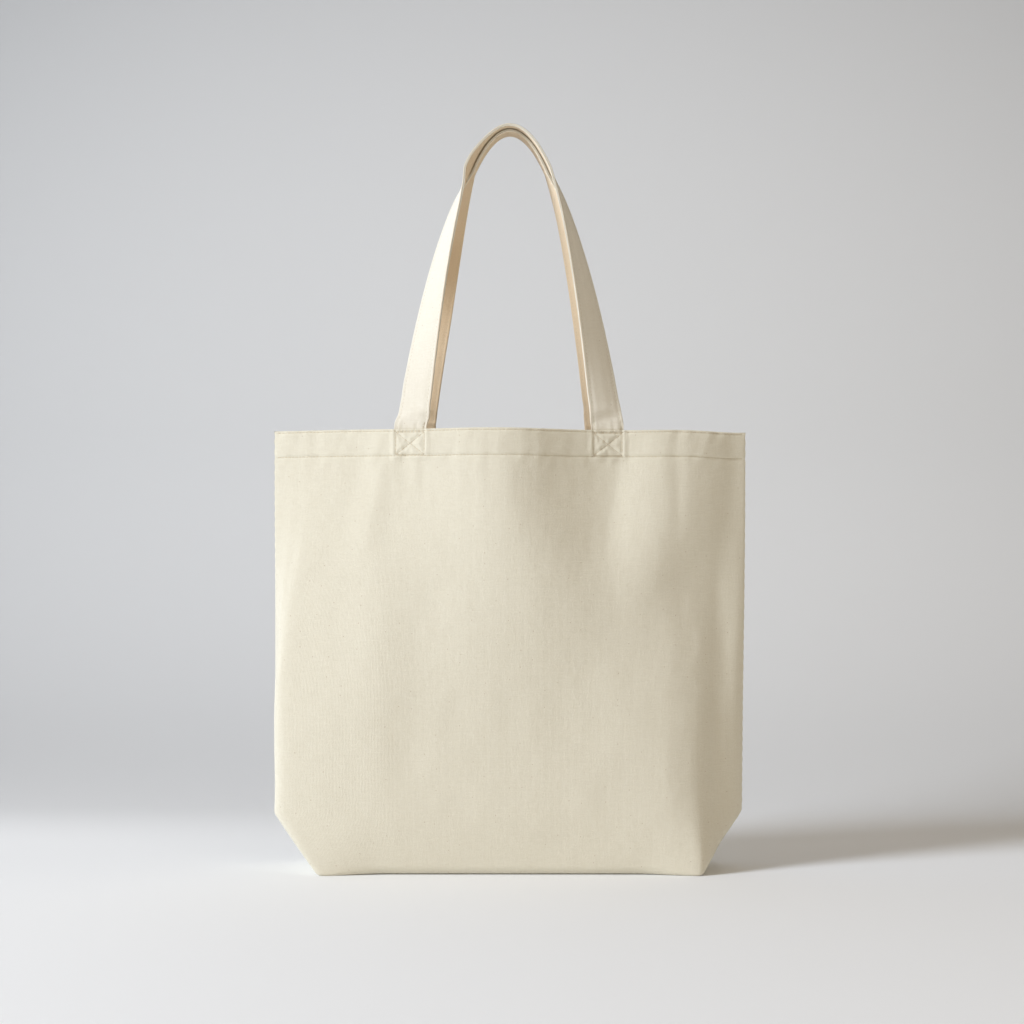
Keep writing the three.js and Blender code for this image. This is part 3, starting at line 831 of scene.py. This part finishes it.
def flap(name, low, high, count, place, canvas, thread):
    """A seam allowance: both layers side by side, with looped thread along the free edge.
    place turns (along, across, up) into space."""
    stations = np.linspace(low, high, count)
    rings = [place(np.column_stack([np.full(len(FLAP_SECTION), s), FLAP_SECTION])) for s in stations]
    size = len(FLAP_SECTION)
    cloth = np.zeros((count, size, 2))
    cloth[..., 0] = FLAP_SECTION[None, :, 0] + 2400
    cloth[..., 1] = stations[:, None]
    points, cloth = np.concatenate(rings), cloth.reshape(-1, 2)
    piece = make_piece(name + "_allowance", points, sweep_faces(count, size), cloth, canvas, "canvas")
    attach(piece, "bag_body")
    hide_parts(name)
    edge_place = lambda p: place(p + [low + 1, -OVERLOCK_DISTANCE, 0])
    sewn = make_piece(name + "_overlock", *overlock(edge_place, high - low - 2), thread, "thread")
    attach(sewn, "bag_body")


def make_flaps(canvas, thread):
    for side, word in SIDES:

        def standing(p, side=side):
            along, out, up = p.T
            wave = 0.7 * noise(along / 26, 0.5, 70 + side) * np.clip(-out / 9, 0, 1)
            return np.stack([side * (seam_x(along) - 4.6 + out), up + wave, along], -1)

        flap(f"{word}_side_seam", 6.0, BAG_HEIGHT - HEM_HEIGHT - 1, 140, standing, canvas, thread)
        corner_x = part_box(f"{word}_corner_seam")[1 if side > 0 else 0].x / MM

        def lying(p, side=side, corner_x=corner_x):
            along, out, up = p.T
            height = 2.5 + up + 0.3 * noise(along / 14, 0.3, 80 + side)
            return np.stack([corner_x + side * out, along, height], -1)

        half = BASE_HALF_DEPTH - 5
        flap(f"{word}_corner_seam", -half, half, 50, lying, canvas, thread)

    def bottom(p):
        along, out, up = p.T
        return np.stack([along, -out, 2.5 + up + 0.3 * noise(along / 18, 0.7, 90)], -1)

    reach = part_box("bottom_seam")[1].x / MM - 1
    flap("bottom_seam", -reach, reach, 120, bottom, canvas, thread)


# ---------------------------------------------------------------- materials


class Graph:
    """A material's nodes, added and linked one by one."""

    def __init__(self, name):
        self.material = bpy.data.materials.new(name)
        self.material.use_nodes = True
        self.tree = self.material.node_tree
        self.tree.nodes.clear()

    def feed(self, socket, value):
        if isinstance(value, bpy.types.NodeSocket):
            self.tree.links.new(value, socket)
        else:
            socket.default_value = value

    def node(self, kind, inputs=(), **settings):
        made = self.tree.nodes.new(kind)
        for key, value in settings.items():
            setattr(made, key, value)
        for key, value in dict(inputs).items():
            self.feed(made.inputs[key], value)
        return made

    def math(self, operation, *values):
        made = self.node("ShaderNodeMath", operation=operation)
        for socket, value in zip(made.inputs, values):
            self.feed(socket, value)
        return made.outputs[0]

    def scaled(self, vector, x, y):
        made = self.node("ShaderNodeVectorMath", {0: vector, 1: (x, y, 1)}, operation="MULTIPLY")
        return made.outputs[0]

    def noise(self, vector, detail):
        inputs = {"Vector": vector, "Scale": 1.0, "Detail": detail}
        return self.node("ShaderNodeTexNoise", inputs, noise_dimensions="2D")

    def random(self, vector, detail=2.0):
        return self.noise(vector, detail).outputs[0]

    def jolt(self, place, cloth, scale, detail, reach):
        """A place, moved about by random colours of the cloth."""
        colour = self.noise(self.scaled(cloth, scale, scale), detail).outputs[1]
        inputs = {0: colour, 1: (reach, reach, 0), 2: place}
        return self.node("ShaderNodeVectorMath", inputs, operation="MULTIPLY_ADD").outputs[0]

    def span(self, value, low, high):
        return self.ramp(value, 0.0, 1.0, low, high)

    def colour(self, share, low, high):
        made = self.node("ShaderNodeMix", {0: share, 6: low, 7: high}, data_type="RGBA")
        return made.outputs[2]

    def darken(self, colour, amount):
        inputs = {0: 1.0, 6: colour, 7: amount}
        return self.node("ShaderNodeMix", inputs, data_type="RGBA", blend_type="MULTIPLY").outputs[2]

    def grey(self, value):
        return self.node("ShaderNodeCombineColor", {0: value, 1: value, 2: value}).outputs[0]

    def ramp(self, value, start, end, low, high, **settings):
        """low where value is start, high where it is end."""
        inputs = {0: value, 1: start, 2: end, 3: low, 4: high}
        return self.node("ShaderNodeMapRange", inputs, **settings).outputs[0]


def linear(r, g, b):
    """A colour given as 0 to 255 display values."""
    channel = lambda c: c / 255 / 12.92 if c <= 10 else ((c / 255 + 0.055) / 1.055) ** 2.4
    return (channel(r), channel(g), channel(b), 1.0)


def woven(name, pale, deep, fleck, pitch, bump, under=None):
    """Undyed plain-weave canvas: over-and-under threads, slubs, seed flecks and a soft nap.
    under is a painted warm shade on a strap's inner face, standing in for the shade there and the warm light
    that comes through the canvas."""
    g = Graph(name)
    cloth = g.node("ShaderNodeUVMap", uv_map="cloth").outputs[0]
    bent = g.jolt(cloth, cloth, 90, 2.0, 0.0009)
    bent = g.jolt(bent, cloth, 420, 1.0, 0.0008)
    threads = g.scaled(bent, 1 / (pitch * MM), 1 / (pitch * MM))
    parts = g.node("ShaderNodeSeparateXYZ", {0: threads})
    u, v = parts.outputs[0], parts.outputs[1]
    across = g.math("SINE", g.math("MULTIPLY", g.math("FRACT", u), math.pi))
    up = g.math("SINE", g.math("MULTIPLY", g.math("FRACT", v), math.pi))
    cell = g.math("ADD", g.math("FLOOR", u), g.math("FLOOR", v))
    weft_over = g.math("ROUND", g.math("FRACT", g.math("MULTIPLY", cell, 0.5)))
    warp = g.math("MULTIPLY", across, g.math("MULTIPLY_ADD", up, 0.55, 0.45))
    weft = g.math("MULTIPLY", up, g.math("MULTIPLY_ADD", across, 0.55, 0.45))
    over = g.node("ShaderNodeMix", {0: weft_over, 2: warp, 3: weft}).outputs[0]
    warp_slub = g.random(g.scaled(cloth, 620, 90), 3.0)
    weft_slub = g.random(g.scaled(cloth, 130, 620), 3.0)
    slub = g.math("ADD", warp_slub, weft_slub)
    height = g.math("MULTIPLY_ADD", slub, 0.6, over)
    cloud = g.random(g.scaled(cloth, 9, 7), 3.0)
    grain = g.random(g.scaled(cloth, 420, 420), 2.0)
    blotch = g.math("MULTIPLY_ADD", cloud, 0.5, g.math("MULTIPLY", grain, 0.5))
    tone = g.math("MULTIPLY_ADD", g.math("SUBTRACT", slub, 1.0), 0.6, blotch)
    body = g.colour(tone, deep, pale)
    # Painted shade: the cloth is darker where the threads sink between one another.
    body = g.darken(body, g.grey(g.span(over, 0.93, 1.02)))
    inputs = {"Vector": g.scaled(cloth, 95, 80), "Scale": 1.0}
    seeds = g.node("ShaderNodeTexVoronoi", inputs, voronoi_dimensions="2D")
    chance = g.node("ShaderNodeSeparateColor", {0: seeds.outputs[1]}).outputs[0]
    chosen = g.math("GREATER_THAN", chance, 0.8)
    near = g.ramp(seeds.outputs[0], 0.02, 0.05, 0.5, 0.0)
    body = g.colour(g.math("MULTIPLY", chosen, near), body, fleck)
    # Painted shade: a strap's inner face is tinted darker and warmer than the rest of the strap.
    if under:
        around = g.node("ShaderNodeSeparateXYZ", {0: cloth}).outputs[0]
        off = g.math("ABSOLUTE", g.math("SUBTRACT", around, STRAP_INNER_FACE_MIDDLE * MM))
        inner = g.ramp(off, 0.0155, 0.0135, 0.0, 1.0)
        body = g.colour(inner, body, g.darken(body, under))
    rough = g.span(height, 0.97, 0.86)
    inputs = {"Strength": bump, "Distance": 0.00035, "Height": height}
    normal = g.node("ShaderNodeBump", inputs).outputs[0]
    inputs = {"Base Color": body, "Roughness": rough, "Normal": normal}
    shader = g.node("ShaderNodeBsdfPrincipled", inputs)
    shader.inputs["Specular IOR Level"].default_value = 0.25
    shader.inputs["Diffuse Roughness"].default_value = 0.6
    shader.inputs["Sheen Weight"].default_value = 0.12
    shader.inputs["Sheen Roughness"].default_value = 0.5
    shader.inputs["Sheen Tint"].default_value = (1.0, 0.97, 0.92, 1.0)
    g.node("ShaderNodeOutputMaterial", {"Surface": shader.outputs[0]})
    return g.material


def spun(name, pale, deep):
    """Cotton sewing thread: plies that wind round it."""
    g = Graph(name)
    cloth = g.node("ShaderNodeUVMap", uv_map="cloth").outputs[0]
    parts = g.node("ShaderNodeSeparateXYZ", {0: cloth})
    wound = g.math("MULTIPLY_ADD", parts.outputs[0], 1400.0, g.math("MULTIPLY", parts.outputs[1], 1100.0))
    ply = g.math("MULTIPLY_ADD", g.math("SINE", g.math("MULTIPLY", wound, 2 * math.pi)), 0.5, 0.5)
    fuzz = g.random(g.scaled(cloth, 900, 900), 2.0)
    # Partly random fuzz, partly painted shade: the grooves between the plies are darker.
    body = g.colour(g.math("MULTIPLY_ADD", fuzz, 0.5, g.math("MULTIPLY", ply, 0.5)), deep, pale)
    # Painted shade: each stitch darkens towards its ends, where the thread dips into its needle hole.
    along = g.math("FRACT", g.math("DIVIDE", parts.outputs[0], STITCH_PITCH * MM))
    from_dip = g.math("ABSOLUTE", g.math("SUBTRACT", along, 0.5))
    body = g.darken(body, g.grey(g.ramp(from_dip, 0.22, 0.12, 1.0, 0.25)))
    rough = g.span(ply, 0.85, 0.7)
    normal = g.node("ShaderNodeBump", {"Strength": 0.5, "Distance": 0.0001, "Height": ply}).outputs[0]
    shader = g.node("ShaderNodeBsdfPrincipled", {"Base Color": body, "Roughness": rough, "Normal": normal})
    shader.inputs["Specular IOR Level"].default_value = 0.3
    shader.inputs["Sheen Weight"].default_value = 0.1
    g.node("ShaderNodeOutputMaterial", {"Surface": shader.outputs[0]})
    return g.material


def paper(name, floor, wall):
    """Matt studio paper, paler on the floor; on the wall a painted shade darkens it away from where the light
    falls most. Unseen from behind.
    """
    g = Graph(name)
    place = g.node("ShaderNodeTexCoord").outputs["Object"]
    depth = g.node("ShaderNodeSeparateXYZ", {0: place}).outputs[1]
    on_wall = g.ramp(depth, 0.14, 0.66, 0.0, 1.0, interpolation_type="SMOOTHSTEP")
    # Painted shade: the wall darkens away from the place where the light falls most.
    inputs = {0: place, 1: (0.55, 0, 0.74), 2: (-0.13, 0, -0.26)}
    off = g.node("ShaderNodeVectorMath", inputs, operation="MULTIPLY_ADD").outputs[0]
    from_bright_place = g.node("ShaderNodeVectorMath", {0: off, 1: off}, operation="DOT_PRODUCT").outputs["Value"]
    wall_painted_shade = g.darken(wall, g.grey(g.ramp(from_bright_place, 0.0, 0.45, 1.0, 0.55)))
    tint = g.colour(on_wall, floor, wall_painted_shade)
    shader = g.node("ShaderNodeBsdfPrincipled", {"Base Color": tint, "Roughness": 0.9}).outputs[0]
    behind = g.node("ShaderNodeNewGeometry").outputs["Backfacing"]
    clear = g.node("ShaderNodeBsdfTransparent").outputs[0]
    one_sided = g.node("ShaderNodeMixShader", {0: behind, 1: shader, 2: clear}).outputs[0]
    g.node("ShaderNodeOutputMaterial", {"Surface": one_sided})
    return g.material


# ---------------------------------------------------------------- the bag

FLECK = linear(176, 150, 118)
# Painted shade for a strap's inner face: warm and dark, as if in shade with light coming through the canvas.
INNER_FACE_PAINTED_SHADE = (0.97, 0.84, 0.69, 1.0)
canvas = woven("undyed_canvas", linear(238, 233, 216), linear(230, 224, 205), FLECK, pitch=1.0, bump=0.65)
strap_pale, strap_deep = linear(242, 237, 223), linear(234, 228, 212)
strap_canvas = woven("undyed_strap_canvas", strap_pale, strap_deep, FLECK, 0.9, 0.6, INNER_FACE_PAINTED_SHADE)
thread = spun("cotton_thread", linear(226, 215, 191), linear(192, 176, 147))

panels = {side: make_panel(side, canvas) for side in (FRONT, BACK)}
make_flaps(canvas, thread)
straps = {}
for side in (FRONT, BACK):
    word = WORDS[side]
    for row_word, drop in (("top", TOP_ROW_DROP), ("lower", LOWER_ROW_DROP)):
        row = hem_stitching(side, drop, thread, f"{word}_hem_{row_word}_stitching")
        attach(row, "bag_body")
        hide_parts(f"{word}_hem_{row_word}_stitch")
    straps[side], frames = make_strap(side, strap_canvas)
    for edge, edge_word in ((-1, "inner"), (1, "outer")):
        edge_stitching(side, edge, edge_word, frames, thread)
    for sign, side_word in SIDES:
        box_stitching(side, sign, side_word, thread)

# ---------------------------------------------------------------- studio

FLOOR_BACK = 0.40
SWEEP_RADIUS = 0.42


def make_studio():
    profile = [(-6.0, 0.0), (-2.0, 0.0), (0.0, 0.0), (FLOOR_BACK, 0.0)]
    profile += [
        (FLOOR_BACK + SWEEP_RADIUS * math.sin(t), SWEEP_RADIUS * (1 - math.cos(t)))
        for t in np.radians(np.linspace(4, 88, 24))
    ]
    profile += [(profile[-1][0] + 0.02 * k, profile[-1][1] + 0.8 * k) for k in (1, 2, 3, 4)]
    across = np.linspace(-6, 6, 13)
    points = [(x, y, z) for y, z in profile for x in across]
    faces = grid_quads(len(profile), len(across)).tolist()
    mesh = bpy.data.meshes.new("studio_sweep")
    mesh.from_pydata(points, [], faces)
    mesh.polygons.foreach_set("use_smooth", [True] * len(mesh.polygons))
    mesh.materials.append(paper("studio_paper", linear(241, 242, 242), linear(216, 217, 217)))
    sweep = bpy.data.objects.new("studio_sweep", mesh)
    bpy.context.scene.collection.objects.link(sweep)


def soft_light(name, place, aim, size, power, colour=(1, 1, 1)):
    light = bpy.data.lights.new(name, "AREA")
    light.shape = "DISK"
    light.size = size
    light.energy = power
    light.color = colour
    lamp = bpy.data.objects.new(name, light)
    lamp.location = place
    direction = Vector(aim) - Vector(place)
    lamp.rotation_euler = direction.to_track_quat("-Z", "Y").to_euler()
    lamp.visible_camera = False
    bpy.context.scene.collection.objects.link(lamp)


make_studio()
soft_light("key", (-3.9, -2.2, 2.45), (0, 0, 0.2), 1.6, 237, (0.915, 0.985, 1.10))
soft_light("fill", (1.2, -2.6, 1.0), (0, 0, 0.3), 2.0, 9, (1.0, 0.92, 0.80))
world = bpy.data.worlds.new("studio_air")
world.use_nodes = True
world.node_tree.nodes["Background"].inputs[0].default_value = (0.97, 0.80, 0.60, 1.0)
world.node_tree.nodes["Background"].inputs[1].default_value = 0.347
bpy.context.scene.world = world
bpy.context.scene.view_settings.view_transform = "Standard"

camera_data = bpy.data.cameras.new("camera")
camera_data.sensor_width = 36
camera_data.lens = 83.2
camera = bpy.data.objects.new("camera", camera_data)
camera.location = (0.0018, -2.1, 0.3156)
camera.rotation_euler = (math.radians(90), 0, 0)
bpy.context.scene.collection.objects.link(camera)
bpy.context.scene.camera = camera
